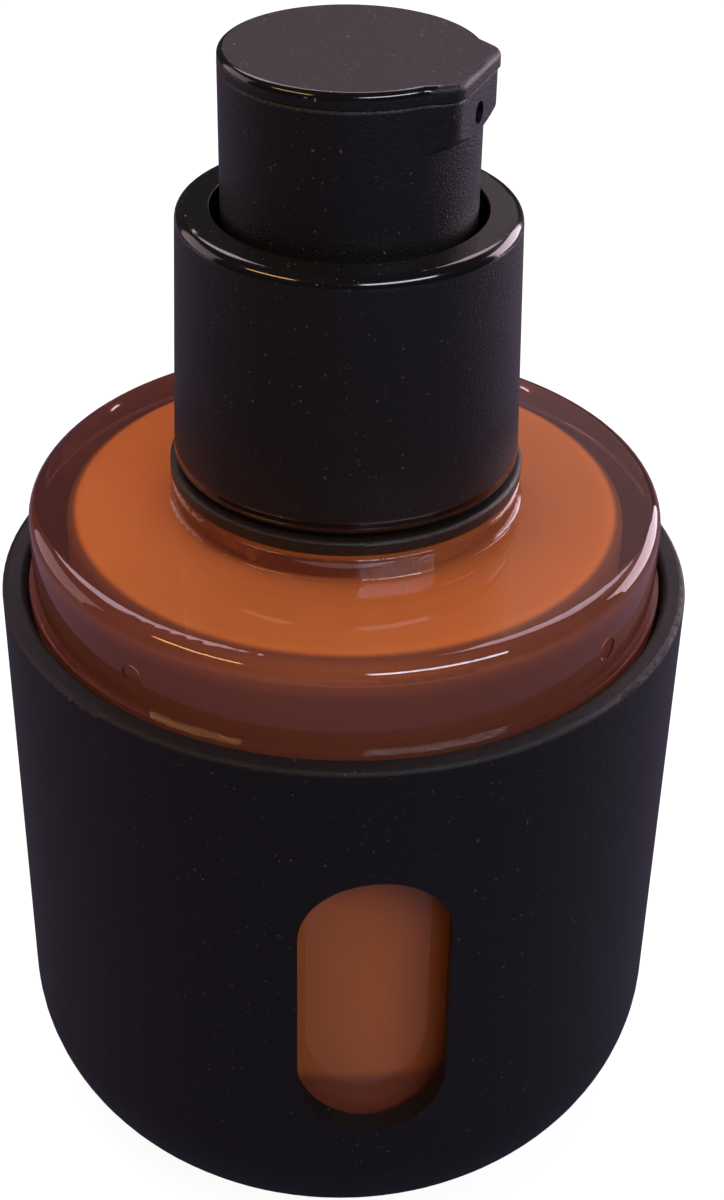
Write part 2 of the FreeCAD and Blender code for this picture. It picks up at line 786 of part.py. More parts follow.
def draw_head_outline(sketch, reach):
    """Draw the head from above: a round whose short flanks run out to a flat spout tip along +X."""
    radius = value("actuator_radius")
    root = value("spout_root / 2")
    half = value("spout_width / 2")
    tip = value(reach)
    start = math.asin(root / radius)
    touch = Vector(radius * math.cos(start), root, 0)
    mirror = Vector(touch.x, -root, 0)
    back = Part.ArcOfCircle(Part.Circle(Vector(0, 0, 0), Vector(0, 0, 1), radius), start, 2 * math.pi - start)
    arc = sketch.addGeometry(back)
    lower = sketch.addGeometry(Part.LineSegment(mirror, Vector(tip, -half, 0)))
    front = sketch.addGeometry(Part.LineSegment(Vector(tip, -half, 0), Vector(tip, half, 0)))
    upper = sketch.addGeometry(Part.LineSegment(Vector(tip, half, 0), touch))
    sketch.addConstraint(Constraint("Coincident", arc, 3, -1, 1))
    for line, following, line_start in ((arc, lower, 1), (lower, front, 1), (front, upper, 1), (upper, arc, 1)):
        sketch.addConstraint(Constraint("Coincident", line, 2, following, line_start))
    sketch.addConstraint(Constraint("Symmetric", front, 1, front, 2, -1))
    for constraint, text in (
        (Constraint("Radius", arc, radius), "actuator_radius"),
        (Constraint("DistanceY", -1, 1, arc, 1, root), "spout_root / 2"),
        (Constraint("DistanceY", arc, 2, -1, 1, root), "spout_root / 2"),
        (Constraint("DistanceX", -1, 1, front, 2, tip), reach),
        (Constraint("DistanceY", front, 1, front, 2, 2 * half), "spout_width"),
    ):
        index = sketch.addConstraint(constraint)
        sketch.setExpression(f"Constraints[{index}]", bound(text))


def tip_corners(shape, reach):
    """Return the upright edges at the two ends of the spout's tip."""
    names = []
    for number, edge in enumerate(shape.Edges, start=1):
        points = [vertex.Point for vertex in edge.Vertexes]
        rises = len(points) == 2 and abs(points[0].z - points[1].z) > TOLERANCE
        if rises and all(point.x > value(reach) - TOLERANCE for point in points):
            names.append(f"Edge{number}")
    return names


def level_edges(shape, height, least_reach):
    """Return the outer edges that lie at a height, at or beyond a distance from the axis."""
    names = []
    for number, edge in enumerate(shape.Edges, start=1):
        level = all(abs(vertex.Z - value(height)) < TOLERANCE for vertex in edge.Vertexes)
        middle = edge.valueAt((edge.FirstParameter + edge.LastParameter) / 2)
        flat = abs(middle.z - value(height)) < TOLERANCE
        if level and flat and math.hypot(middle.x, middle.y) > value(least_reach) - TOLERANCE:
            names.append(f"Edge{number}")
    return names


def local_shape(body):
    """Return the body's shape in the body's own frame, where the spout lies along +X."""
    return body.Tip.Shape


def actuator_body():
    """Round finger head with a short flat-tipped spout, hollow below, bored out to the spout."""
    body = new_body("actuator_body", turn="spout_angle")
    revolve(body, "skirt", [
        ("skirt_bore", "skirt_foot"),
        ("actuator_radius", "skirt_foot"),
        ("actuator_radius", "ledge + spout_bevel"),
        ("stem_bore", "ledge + spout_bevel"),
        ("stem_bore", "core_top"),
        ("core_radius + press_gap", "core_top"),
        ("core_radius + press_gap", "ceiling"),
        ("skirt_bore", "ceiling"),
    ])
    round_rims(body, "skirt_edge", "skirt_rounding", [("actuator_radius", "skirt_foot")])
    sketch = new_sketch(body, "head_outline", "XY_Plane", "ledge")
    draw_head_outline(sketch, "spout_reach")
    pad(body, sketch, "head", "head_height")
    dress(body, "Fillet", "spout_corners", "spout_corner", tip_corners(local_shape(body), "spout_reach"))
    groove(body, "spout_underside", [
        ("actuator_radius + press_gap", "ledge"),
        ("actuator_radius + spout_bevel", "ledge"),
        ("actuator_radius + spout_bevel", "ledge + spout_bevel - press_gap"),
    ])
    round_top = level_edges(local_shape(body), "head_top", "actuator_radius")
    dress(body, "Fillet", "head_edge", "head_rounding", round_top)
    hollow = new_sketch(body, "core_outline", "XY_Plane", "core_top")
    draw_circle(hollow, "0", "0", "core_radius + press_gap")
    cut(body, hollow, "core_hole", "core_top - skirt_foot")
    riser = new_sketch(body, "riser_outline", "XY_Plane", "nozzle_height")
    draw_circle(riser, "0", "0", "nozzle_radius")
    cut(body, riser, "riser", "nozzle_height - skirt_foot")
    channel = new_sketch(body, "channel_outline", "YZ_Plane")
    draw_circle(channel, "0", "nozzle_height", "nozzle_radius")
    cut(body, channel, "channel", "plate_reach", away=True)
    pegs = new_sketch(body, "peg_holes_outline", "XY_Plane", "head_top")
    for side in ("peg_spread", "0 - peg_spread"):
        draw_circle(pegs, "0 - peg_inset", side, "peg_radius + press_gap")
    cut(body, pegs, "peg_holes", "peg_length + running_gap")
    return body


def actuator_core():
    """Socket tube pressed into the head, which grips the stem and leads the oil up to the spout's bore."""
    body = new_body("actuator_core", turn="spout_angle")
    revolve(body, "core", [
        ("stem_radius + press_gap", "core_foot"),
        ("core_radius", "core_foot"),
        ("core_radius", "core_top"),
        ("nozzle_radius", "core_top"),
        ("nozzle_radius", "stem_top"),
        ("stem_radius + press_gap", "stem_top"),
    ])
    return body


def actuator_top_plate():
    """Flat finger plate on the head, with a soft edge and two pegs underneath."""
    body = new_body("actuator_top_plate", turn="spout_angle")
    sketch = new_sketch(body, "plate_outline", "XY_Plane", "head_top")
    draw_head_outline(sketch, "plate_reach")
    pad(body, sketch, "plate", "plate_thickness")
    dress(body, "Fillet", "tip_corners", "spout_corner", tip_corners(local_shape(body), "plate_reach"))
    top_edges = level_edges(local_shape(body), "plate_top", "actuator_radius")
    dress(body, "Fillet", "top_edge", "plate_rounding", top_edges)
    pegs = new_sketch(body, "pegs_outline", "XY_Plane", "head_top - peg_length")
    for side in ("peg_spread", "0 - peg_spread"):
        draw_circle(pegs, "0 - peg_inset", side, "peg_radius")
    pad(body, pegs, "pegs", "peg_length")
    return body


pieces = [build() for build in (
    outer_sleeve, bottle_pad, glass_bottle, oil_fill, neck_gasket, pump_housing, housing_cap, stem_wiper,
    dip_tube, inlet_ball, ball_cage, return_spring, lower_stem, upper_stem, piston, closure, collar_shroud,
    actuator_body, actuator_core, actuator_top_plate,
)]
document.recompute()

for item in document.Objects:
    if {"Invalid", "Error"} & set(item.State):
        raise RuntimeError(f"{item.Label} failed: {item.State}")
for piece in pieces:
    shape = piece.Shape
    if shape.isNull() or not shape.isValid() or len(shape.Solids) != 1:
        raise RuntimeError(f"{piece.Label} is not one sound solid")

os.makedirs("parts", exist_ok=True)
for piece in pieces:
    piece.Shape.exportStep(f"parts/{piece.Label}.step")
    print(f"{piece.Label}: {piece.Shape.Volume:.1f} mm3")
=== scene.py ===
"""Pump oil bottle: finishes, oil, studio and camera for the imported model.

Metres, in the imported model's own frame: +Z is up, the base's centre is the origin and the window faces -Y.
"""

import logging
import math
from dataclasses import dataclass, field
from enum import Enum

import bpy
from mathutils import Matrix, Vector


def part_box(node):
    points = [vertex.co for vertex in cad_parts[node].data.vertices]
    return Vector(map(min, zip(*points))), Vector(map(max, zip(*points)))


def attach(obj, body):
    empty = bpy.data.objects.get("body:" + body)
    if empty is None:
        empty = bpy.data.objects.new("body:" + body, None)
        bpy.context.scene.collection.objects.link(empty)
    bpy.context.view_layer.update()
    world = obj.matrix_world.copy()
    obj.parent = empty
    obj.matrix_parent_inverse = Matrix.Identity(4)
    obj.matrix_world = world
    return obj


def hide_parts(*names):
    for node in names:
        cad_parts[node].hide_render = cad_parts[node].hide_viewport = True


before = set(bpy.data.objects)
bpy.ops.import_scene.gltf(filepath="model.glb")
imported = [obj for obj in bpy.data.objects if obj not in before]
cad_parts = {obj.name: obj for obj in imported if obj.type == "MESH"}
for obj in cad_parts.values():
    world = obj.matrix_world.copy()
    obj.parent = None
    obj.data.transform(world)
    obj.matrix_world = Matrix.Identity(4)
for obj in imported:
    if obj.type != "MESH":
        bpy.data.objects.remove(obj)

MM = 0.001
WELD = 0.001 * MM
MIDDLE = (0.3, 0.7)
LOG = logging.getLogger("pump_oil_bottle")

Colour = tuple[float, float, float]
Point = tuple[float, float]


class Lamp(Enum):
    """The studio's lamps, by what they do."""

    WINDOW = "window_light"
    WARM = "warm_lamp"
    OVER = "overhead_panel"
    RIGHT = "right_panel"
    LEFT = "left_panel"
    BACK = "back_panel"
    HIGH = "high_back_panel"


class NodeSheet:
    """Adds nodes to a material's tree and joins them up."""

    def __init__(self, name: str) -> None:
        """Start a material with only its output node.

        Args:
            name: the material's name.
        """
        self.material = bpy.data.materials.new(name)
        self.material.use_nodes = True
        self.tree = self.material.node_tree
        self.tree.nodes.clear()
        self.output = self.tree.nodes.new("ShaderNodeOutputMaterial")

    def node(self, kind: str, **settings: object) -> bpy.types.Node:
        """Add a node.

        Args:
            kind: the node type's name after "ShaderNode".
            settings: attributes to set on the node.

        Returns:
            The new node.
        """
        made = self.tree.nodes.new(f"ShaderNode{kind}")
        for key, setting in settings.items():
            setattr(made, key, setting)
        return made

    def join(self, source: bpy.types.NodeSocket, target: bpy.types.NodeSocket) -> None:
        """Link one socket to another."""
        self.tree.links.new(source, target)

    def feed(self, target: bpy.types.NodeSocket, given: object) -> None:
        """Link a socket to a node's input, or set a plain value there.

        Args:
            target: the input.
            given: a socket, a number or a colour.
        """
        if isinstance(given, bpy.types.NodeSocket):
            self.join(given, target)
        else:
            target.default_value = given

    def place(self) -> bpy.types.NodeSocket:
        """Return the piece's own coordinates, in metres."""
        return self.node("TexCoord").outputs["Object"]

    def along(self) -> bpy.types.NodeOutputs:
        """Split the piece's own coordinates.

        Returns:
            The outputs named X, Y and Z.
        """
        split = self.node("SeparateXYZ")
        self.join(self.place(), split.inputs[0])
        return split.outputs

    def radius(self, along: bpy.types.NodeOutputs) -> bpy.types.NodeSocket:
        """Return the distance from the bottle's axis, from the split coordinates."""
        squares = [self.math("MULTIPLY", along[axis], along[axis]) for axis in ("X", "Y")]
        return self.math("SQRT", self.math("ADD", *squares))

    def math(self, operation: str, *given: object) -> bpy.types.NodeSocket:
        """Add a Math node.

        Args:
            operation: the Math node's operation.
            given: sockets or numbers for its inputs.

        Returns:
            The result's socket.
        """
        made = self.node("Math", operation=operation)
        for index, value in enumerate(given):
            self.feed(made.inputs[index], value)
        return made.outputs[0]

    def noise(self, size: float, detail: float = 2.0, roughness: float = 0.5) -> bpy.types.NodeSocket:
        """Add a noise pattern.

        Args:
            size: width of one blotch, in metres.
            detail: how many finer layers it has.
            roughness: how strong the finer layers are.

        Returns:
            The pattern's value, about 0.5 on average.
        """
        made = self.node("TexNoise")
        self.join(self.place(), made.inputs["Vector"])
        made.inputs["Scale"].default_value = 1.0 / size
        made.inputs["Detail"].default_value = detail
        made.inputs["Roughness"].default_value = roughness
        return made.outputs["Fac"]

    def spread(self, source: object, low: float, high: float, to_low: float, to_high: float,
               smooth: bool = False) -> bpy.types.NodeSocket:
        """Map a range of values to another range, clamped.

        Args:
            source: the value to map.
            low: where the source range starts.
            high: where the source range ends.
            to_low: result at the start.
            to_high: result at the end.
            smooth: True for an eased ramp.

        Returns:
            The mapped value.
        """
        made = self.node("MapRange", interpolation_type="SMOOTHSTEP" if smooth else "LINEAR")
        self.feed(made.inputs["Value"], source)
        limits = {"From Min": low, "From Max": high, "To Min": to_low, "To Max": to_high}
        for name, number in limits.items():
            made.inputs[name].default_value = number
        return made.outputs["Result"]

    def blend(self, share: object, first: object, second: object) -> bpy.types.NodeSocket:
        """Mix two colours.

        Args:
            share: how much of the second colour shows.
            first: socket or colour at 0.
            second: socket or colour at 1.

        Returns:
            The mixed colour.
        """
        made = self.node("Mix", data_type="RGBA")
        self.feed(made.inputs["Factor"], share)
        colour_inputs = [socket for socket in made.inputs if socket.type == "RGBA"]
        self.feed(colour_inputs[0], first)
        self.feed(colour_inputs[1], second)
        return next(socket for socket in made.outputs if socket.type == "RGBA")

    def bump(self, height: bpy.types.NodeSocket, depth: float) -> bpy.types.NodeSocket:
        """Turn a height pattern into a normal.

        Args:
            height: the pattern.
            depth: the relief's height, in metres.

        Returns:
            The bumped normal.
        """
        made = self.node("Bump")
        made.inputs["Strength"].default_value = 1.0
        made.inputs["Distance"].default_value = depth
        self.join(height, made.inputs["Height"])
        return made.outputs["Normal"]

    def mix(self, share: object, first: bpy.types.NodeSocket,
            second: bpy.types.NodeSocket) -> bpy.types.NodeSocket:
        """Mix two shaders.

        Args:
            share: how much of the second shader shows.
            first: the shader at 0.
            second: the shader at 1.

        Returns:
            The mixed shader.
        """
        made = self.node("MixShader")
        self.feed(made.inputs["Fac"], share)
        self.join(first, made.inputs[1])
        self.join(second, made.inputs[2])
        return made.outputs[0]

    def finish(self, shader: bpy.types.NodeSocket) -> bpy.types.Material:
        """Use a shader as the surface and return the finished material."""
        self.join(shader, self.output.inputs["Surface"])
        return self.material


def rgba(colour: Colour) -> tuple[float, float, float, float]:
    """Return a colour with full alpha."""
    return (*colour, 1.0)


@dataclass(frozen=True)
class BlackPlastic:
    """Moulded black plastic: fine grain and faint dust, matt apart from its polished bands.

    The grain's size and the relief are in metres. The surface is polished below the height
    polished_below and above the height polished_above, other than on a flat top at top_face
    and further than round_to from the axis. Polish fades over the length ease.
    """

    name: str
    colour: Colour = (0.0035, 0.0026, 0.003)
    roughness: float = 0.42
    shine: float = 0.3
    grain: float = 0.18 * MM
    relief: float = 0.06 * MM
    dust: float = 0.35
    dust_colour: Colour = (0.16, 0.13, 0.14)
    dust_rarity: Point = (0.79, 0.86)
    speck: float = 0.22 * MM
    unevenness: float = 0.1
    polish: float = 0.12
    polish_shine: float = 0.5
    ease: float = 0.15 * MM
    skin: float = 0.01 * MM
    polished_below: float | None = None
    polished_above: float | None = None
    top_face: float | None = None
    round_to: float | None = None

    def build(self) -> bpy.types.Material:
        """Make the material.

        Returns:
            The material.
        """
        sheet = NodeSheet(self.name)
        shader = sheet.node("BsdfPrincipled")
        specks = sheet.noise(self.speck, detail=0.0)
        dusty = sheet.spread(specks, *self.dust_rarity, 0.0, self.dust)
        tone = sheet.blend(dusty, rgba(self.colour), rgba(self.dust_colour))
        sheet.join(tone, shader.inputs["Base Color"])
        fine = sheet.noise(self.grain, 3.0, 0.7)
        smoother, rougher = self.roughness * (1 - self.unevenness), self.roughness * (1 + self.unevenness)
        matt: object = sheet.spread(fine, *MIDDLE, smoother, rougher)
        shine: object = self.shine
        height = fine
        share = self.polished_share(sheet)
        if share is not None:
            keep = sheet.math("SUBTRACT", 1.0, share)
            matt = self.toward(sheet, keep, matt, share, self.polish)
            shine = self.toward(sheet, keep, shine, share, self.polish_shine)
            height = sheet.math("MULTIPLY", height, keep)
        sheet.feed(shader.inputs["Roughness"], matt)
        sheet.feed(shader.inputs["Specular IOR Level"], shine)
        sheet.join(sheet.bump(height, self.relief), shader.inputs["Normal"])
        return sheet.finish(shader.outputs[0])

    @staticmethod
    def toward(sheet: NodeSheet, keep: object, matt: object, share: object,
               polished: float) -> bpy.types.NodeSocket:
        """Return a matt value and a polished one, blended by their shares."""
        return sheet.math("ADD", sheet.math("MULTIPLY", matt, keep), sheet.math("MULTIPLY", share, polished))

    def polished_share(self, sheet: NodeSheet) -> bpy.types.NodeSocket | None:
        """Find how polished the surface is.

        Args:
            sheet: the material's nodes.

        Returns:
            A value from 0, matt, to 1, polished, or None if it is matt all over.
        """
        if self.polished_below is None and self.polished_above is None:
            return None
        along = sheet.along()
        up = along["Z"]
        share: object = 0.0
        for edge, under, over in ((self.polished_below, 1.0, 0.0), (self.polished_above, 0.0, 1.0)):
            if edge is not None:
                band = sheet.spread(up, edge - self.ease, edge + self.ease, under, over, smooth=True)
                share = sheet.math("MAXIMUM", share, band)
        if self.top_face is not None:
            below_top = sheet.math("LESS_THAN", up, self.top_face - self.skin)
            share = sheet.math("MULTIPLY", share, below_top)
        if self.round_to is not None:
            inside = sheet.spread(sheet.radius(along), self.round_to, self.round_to + self.ease, 1.0, 0.0)
            share = sheet.math("MULTIPLY", share, inside)
        return share


@dataclass(frozen=True)
class ClearGlass:
    """Thick clear glass, faintly warm, that lets the lamps through to what it holds, with a faint warm
    diffuse layer mixed in as a painted reflection of the oil inside the glass.
    """

    name: str = "bottle_glass"
    tint: Colour = (0.86, 0.72, 0.76)
    shade: Colour = (0.98, 0.95, 0.95)
    # painted reflection: colour of the oil's reflections inside the glass, and how much of it is mixed in
    painted_reflection_colour: Colour = (0.38, 0.11, 0.10)
    painted_reflection_share: float = 0.08
    ior: float = 1.5
    ripple: float = 4.0 * MM
    ripple_depth: float = 0.008 * MM

    def build(self) -> bpy.types.Material:
        """Make the material.

        Returns:
            The material.
        """
        sheet = NodeSheet(self.name)
        shader = sheet.node("BsdfPrincipled")
        shader.inputs["Base Color"].default_value = rgba(self.tint)
        shader.inputs["Roughness"].default_value = 0.0
        shader.inputs["IOR"].default_value = self.ior
        shader.inputs["Transmission Weight"].default_value = 1.0
        wavy = sheet.bump(sheet.noise(self.ripple), self.ripple_depth)
        sheet.join(wavy, shader.inputs["Normal"])
        # painted reflection: a faint warm diffuse layer stands in for the oil reflected inside the glass
        painted_reflection = sheet.node("BsdfDiffuse")
        painted_reflection.inputs["Color"].default_value = rgba(self.painted_reflection_colour)
        body = sheet.mix(self.painted_reflection_share, shader.outputs[0], painted_reflection.outputs[0])
        open_way = sheet.node("BsdfTransparent")
        open_way.inputs["Color"].default_value = rgba(self.shade)
        shadow = sheet.node("LightPath").outputs["Is Shadow Ray"]
        return sheet.finish(sheet.mix(shadow, body, open_way.outputs[0]))


@dataclass(frozen=True)
class Plain:
    """A simple moulded, rubber or metal finish with slight colour and gloss variation."""

    name: str
    colour: Colour
    roughness: float
    metallic: float = 0.0
    clear: float = 0.0
    grain: float = 0.4 * MM
    relief: float = 0.003 * MM
    cloud: float = 3.0 * MM
    cloud_depth: float = 0.12
    wear: float = 1.5 * MM
    unevenness: float = 0.15

    def build(self) -> bpy.types.Material:
        """Make the material.

        Returns:
            The material.
        """
        sheet = NodeSheet(self.name)
        shader = sheet.node("BsdfPrincipled")
        cloudy = sheet.spread(sheet.noise(self.cloud, 3.0), *MIDDLE, 0.0, 1.0)
        darker = tuple(channel * (1 - self.cloud_depth) for channel in self.colour)
        sheet.join(sheet.blend(cloudy, rgba(darker), rgba(self.colour)), shader.inputs["Base Color"])
        smoother, rougher = self.roughness * (1 - self.unevenness), self.roughness * (1 + self.unevenness)
        worn = sheet.spread(sheet.noise(self.wear), *MIDDLE, smoother, rougher)
        sheet.join(worn, shader.inputs["Roughness"])
        shader.inputs["Metallic"].default_value = self.metallic
        shader.inputs["Transmission Weight"].default_value = self.clear
        sheet.join(sheet.bump(sheet.noise(self.grain), self.relief), shader.inputs["Normal"])
        return sheet.finish(shader.outputs[0])


@dataclass(frozen=True)
class ThickOil:
    """Opaque orange-brown oil, with painted shade on it against the glass wall above the sleeve and round its
    foot.
    """

    name: str = "oil_orange_brown"
    colour: Colour = (0.28, 0.084, 0.015)
    settled: Colour = (0.26, 0.077, 0.013)
    # painted shade: colour of the oil against the glass wall above the sleeve, darkened where the sleeve and
    # glass keep the light off
    wall: Colour = (0.065, 0.020, 0.007)
    wall_radius: float = 19.7 * MM
    wall_foot: float = 42.0 * MM
    wall_ease: Point = (0.5 * MM, 4.0 * MM)
    # painted shade: colour of the oil round its foot, darkened to stand in for the shade seen through the
    # glass's thick heel
    foot: Colour = (0.13, 0.034, 0.013)
    foot_top: float = 17.4 * MM
    foot_ease: float = 1.5 * MM
    swirl: float = 12.0 * MM
    swirl_range: Point = (0.35, 0.65)
    roughness: float = 0.5

    def build(self) -> bpy.types.Material:
        """Make the material.

        Returns:
            The material.
        """
        sheet = NodeSheet(self.name)
        shader = sheet.node("BsdfPrincipled")
        swirled = sheet.spread(sheet.noise(self.swirl, 3.0), *self.swirl_range, 0.0, 1.0)
        tone = sheet.blend(swirled, rgba(self.settled), rgba(self.colour))
        along = sheet.along()
        up = along["Z"]
        outward, upward = self.wall_ease
        # painted shade near the glass wall above the sleeve
        near_wall = sheet.spread(
            sheet.radius(along), self.wall_radius - outward, self.wall_radius, 0.0, 1.0, smooth=True)
        above = sheet.spread(up, self.wall_foot - upward, self.wall_foot, 0.0, 1.0, smooth=True)
        painted_wall_shade_share = sheet.math("MULTIPLY", near_wall, above)
        # painted shade round the oil's foot
        painted_foot_shade_share = sheet.spread(up, self.foot_top - self.foot_ease, self.foot_top, 1.0, 0.0, smooth=True)
        tone = sheet.blend(painted_foot_shade_share, tone, rgba(self.foot))
        sheet.join(sheet.blend(painted_wall_shade_share, tone, rgba(self.wall)), shader.inputs["Base Color"])
        shader.inputs["Roughness"].default_value = self.roughness
        shader.inputs["Specular IOR Level"].default_value = 0.0
        return sheet.finish(shader.outputs[0])


def dress_node(node: str, material: bpy.types.Material) -> None:
    """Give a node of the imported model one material.

    Args:
        node: the node's name.
        material: its material.
    """
    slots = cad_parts[node].data.materials
    slots.clear()
    slots.append(material)


def start_piece(name: str) -> bpy.types.Object:
    """Name the object that the last operator added.

    Args:
        name: the object's and its mesh's new name.

    Returns:
        The object.
    """
    piece = bpy.context.active_object
    piece.name = name
    piece.data.name = name
    return piece


def clear_selection() -> None:
    """Go to object mode and deselect every object."""
    if bpy.context.object and bpy.context.object.mode != "OBJECT":
        bpy.ops.object.mode_set(mode="OBJECT")
    bpy.ops.object.select_all(action="DESELECT")


def lathe(name: str, corners: list[Point], steps: int = 192) -> bpy.types.Object:
    """Turn an outline about the vertical axis into a closed solid.

    Args:
        name: the piece's name.
        corners: radius and height of each corner, from the axis round to the axis, in metres.
        steps: how many faces go round it.

    Returns:
        The piece.
    """
    clear_selection()
    bpy.ops.mesh.primitive_plane_add(size=MM)
    piece = start_piece(name)
    bpy.ops.object.mode_set(mode="EDIT")
    bpy.ops.mesh.merge(type="CENTER")
    first_radius, first_height = corners[0]
    bpy.ops.transform.translate(value=(first_radius, 0.0, first_height))
    for (radius, height), (next_radius, next_height) in zip(corners, corners[1:]):
        step = (next_radius - radius, 0.0, next_height - height)
        bpy.ops.mesh.extrude_region_move(TRANSFORM_OT_translate={"value": step})
    bpy.ops.mesh.select_all(action="SELECT")
    bpy.ops.mesh.spin(steps=steps, angle=math.tau, center=(0, 0, 0), axis=(0, 0, 1))
    bpy.ops.mesh.select_all(action="SELECT")
    bpy.ops.mesh.remove_doubles(threshold=WELD)
    bpy.ops.mesh.normals_make_consistent(inside=False)
    bpy.ops.object.mode_set(mode="OBJECT")
    return piece


def smooth(piece: bpy.types.Object, angle: float = 32.0) -> None:
    """Shade a piece smooth, apart from its sharp edges.

    Args:
        piece: the piece.
        angle: edges that turn by more than this stay sharp, in degrees.
    """
    clear_selection()
    piece.select_set(True)
    bpy.context.view_layer.objects.active = piece
    bpy.ops.object.shade_smooth_by_angle(angle=math.radians(angle))
    bpy.ops.object.select_all(action="DESELECT")


def arc(centre: Point, radius: float, start: float, end: float, steps: int = 16) -> list[Point]:
    """Find points along an arc of an outline.

    Args:
        centre: radius and height of the arc's centre.
        radius: the arc's own radius.
        start: angle of the first point, in degrees from outwards towards up.
        end: angle of the last point.
        steps: how many steps it has.

    Returns:
        Radius and height of each point.
    """
    angles = [math.radians(start + (end - start) * step / steps) for step in range(steps + 1)]
    return [(centre[0] + radius * math.cos(turn), centre[1] + radius * math.sin(turn)) for turn in angles]


@dataclass
class Bottle:
    """Sleeve, glass, pad and oil.

    The oil reaches into the glass by contact, and fill_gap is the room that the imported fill
    leaves at the glass. foot_corner and shoulder_corner are the radii of the oil's edges.
    """

    contact: float = 0.02 * MM
    fill_gap: float = 0.3 * MM
    foot_corner: float = 7.65 * MM
    shoulder_corner: float = 1.5 * MM
    sleeve: BlackPlastic = BlackPlastic("sleeve_matt", roughness=0.5, shine=0.26, dust=0.3)
    glass: ClearGlass = ClearGlass()
    oil: ThickOil = ThickOil()
    pad: Plain = Plain("pad_foam", (0.03, 0.03, 0.032), 0.85)

    def build(self) -> list[bpy.types.Object]:
        """Make the oil as a body that wets the whole chamber.

        Returns:
            The new pieces.
        """
        low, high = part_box("oil_fill")
        radius = high.x + self.fill_gap + self.contact
        floor = low.z - self.contact
        top = high.z + self.fill_gap + self.contact
        foot, crown = self.foot_corner, self.shoulder_corner
        outline = [(0.0, floor)]
        outline += arc((radius - foot, floor + foot), foot, -90, 0)
        outline += arc((radius - crown, top - crown), crown, 0, 90, 8)
        outline.append((0.0, top))
        oil = lathe("thick_oil", outline)
        smooth(oil)
        oil.data.materials.append(self.oil.build())
        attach(oil, "bottle")
        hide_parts("oil_fill")
        return [oil]

    def dress(self) -> None:
        """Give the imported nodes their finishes."""
        dress_node("outer_sleeve", self.sleeve.build())
        dress_node("glass_bottle", self.glass.build())
        dress_node("bottle_pad", self.pad.build())


@dataclass
class Collar:
    """Screw cap and the collar over it, which is polished at its foot and round its top edge."""

    foot_band: float = 1.4 * MM
    top_band: float = 0.75 * MM
    rim: BlackPlastic = BlackPlastic(
        "closure_black", colour=(0.010, 0.006, 0.005), roughness=0.35, shine=0.3, dust=0.1)

    def dress(self) -> None:
        """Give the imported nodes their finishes."""
        low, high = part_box("collar_shroud")
        collar = BlackPlastic(
            "collar_satin", polished_below=low.z + self.foot_band, polished_above=high.z - self.top_band)
        dress_node("collar_shroud", collar.build())
        dress_node("closure", self.rim.build())


@dataclass
class Pump:
    """Everything inside the neck and the barrel."""

    natural: Plain = Plain("pump_natural", (0.72, 0.72, 0.69), 0.3)
    seal: Plain = Plain("seal_white", (0.78, 0.78, 0.75), 0.45)
    tube: Plain = Plain("tube_milky", (0.8, 0.8, 0.78), 0.25, clear=0.4)
    cap: BlackPlastic = BlackPlastic("cap_black", roughness=0.35, dust=0.0)
    ball: Plain = Plain("ball_steel", (0.62, 0.62, 0.63), 0.08, metallic=1.0)
    spring: Plain = Plain("spring_steel", (0.5, 0.5, 0.52), 0.25, metallic=1.0)

    def dress(self) -> None:
        """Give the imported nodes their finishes."""
        worn_by = (
            (self.natural, ("pump_housing", "ball_cage", "lower_stem", "upper_stem", "actuator_core")),
            (self.seal, ("neck_gasket", "stem_wiper", "piston")),
            (self.tube, ("dip_tube",)),
            (self.cap, ("housing_cap",)),
            (self.ball, ("inlet_ball",)),
            (self.spring, ("return_spring",)),
        )
        for finish, nodes in worn_by:
            material = finish.build()
            for node in nodes:
                dress_node(node, material)


@dataclass
class Head:
    """Finger head and its top plate, whose round edge is polished but not its spout's."""

    edge_band: float = 0.5 * MM
    past_edge: float = 0.1 * MM
    body: BlackPlastic = BlackPlastic("head_satin", roughness=0.4)

    def dress(self) -> None:
        """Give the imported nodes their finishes."""
        dress_node("actuator_body", self.body.build())
        low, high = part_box("actuator_top_plate")
        plate = BlackPlastic(
            "plate_satin", dust=0.5, polished_above=high.z - self.edge_band, top_face=high.z,
            round_to=self.past_edge - low.x)
        dress_node("actuator_top_plate", plate.build())


@dataclass(frozen=True)
class ViewPoint:
    """Where the camera stands, and its angles in degrees."""

    place: tuple[float, float, float] = (-12.97 * MM, -127.70 * MM, 131.20 * MM)
    heading: float = 6.40
    dip: float = 33.975
    roll: float = 1.123
    lens: float = 62.13
    sensor: float = 36.0
    near: float = 5.0 * MM

    def build(self) -> bpy.types.Object:
        """Add the camera and use it.

        Returns:
            The camera.
        """
        heading, dip, roll = (math.radians(angle) for angle in (self.heading, self.dip, self.roll))
        ahead = Vector((math.sin(heading) * math.cos(dip), math.cos(heading) * math.cos(dip), -math.sin(dip)))
        level = ahead.cross(Vector((0, 0, 1))).normalized()
        over = level.cross(ahead)
        right = math.cos(roll) * level + math.sin(roll) * over
        up = math.cos(roll) * over - math.sin(roll) * level
        turned = Matrix((right, up, -ahead)).transposed().to_4x4()
        data = bpy.data.cameras.new("camera")
        data.lens = self.lens
        data.sensor_width = self.sensor
        data.clip_start = self.near
        camera = bpy.data.objects.new("camera", data)
        camera.matrix_world = Matrix.Translation(Vector(self.place)) @ turned
        bpy.context.scene.collection.objects.link(camera)
        bpy.context.scene.camera = camera
        return camera


@dataclass(frozen=True)
class Panel:
    """A rectangular soft lamp: its centre, its width and height, its watts and its colour."""

    place: tuple[float, float, float]
    size: Point
    power: float
    colour: Colour


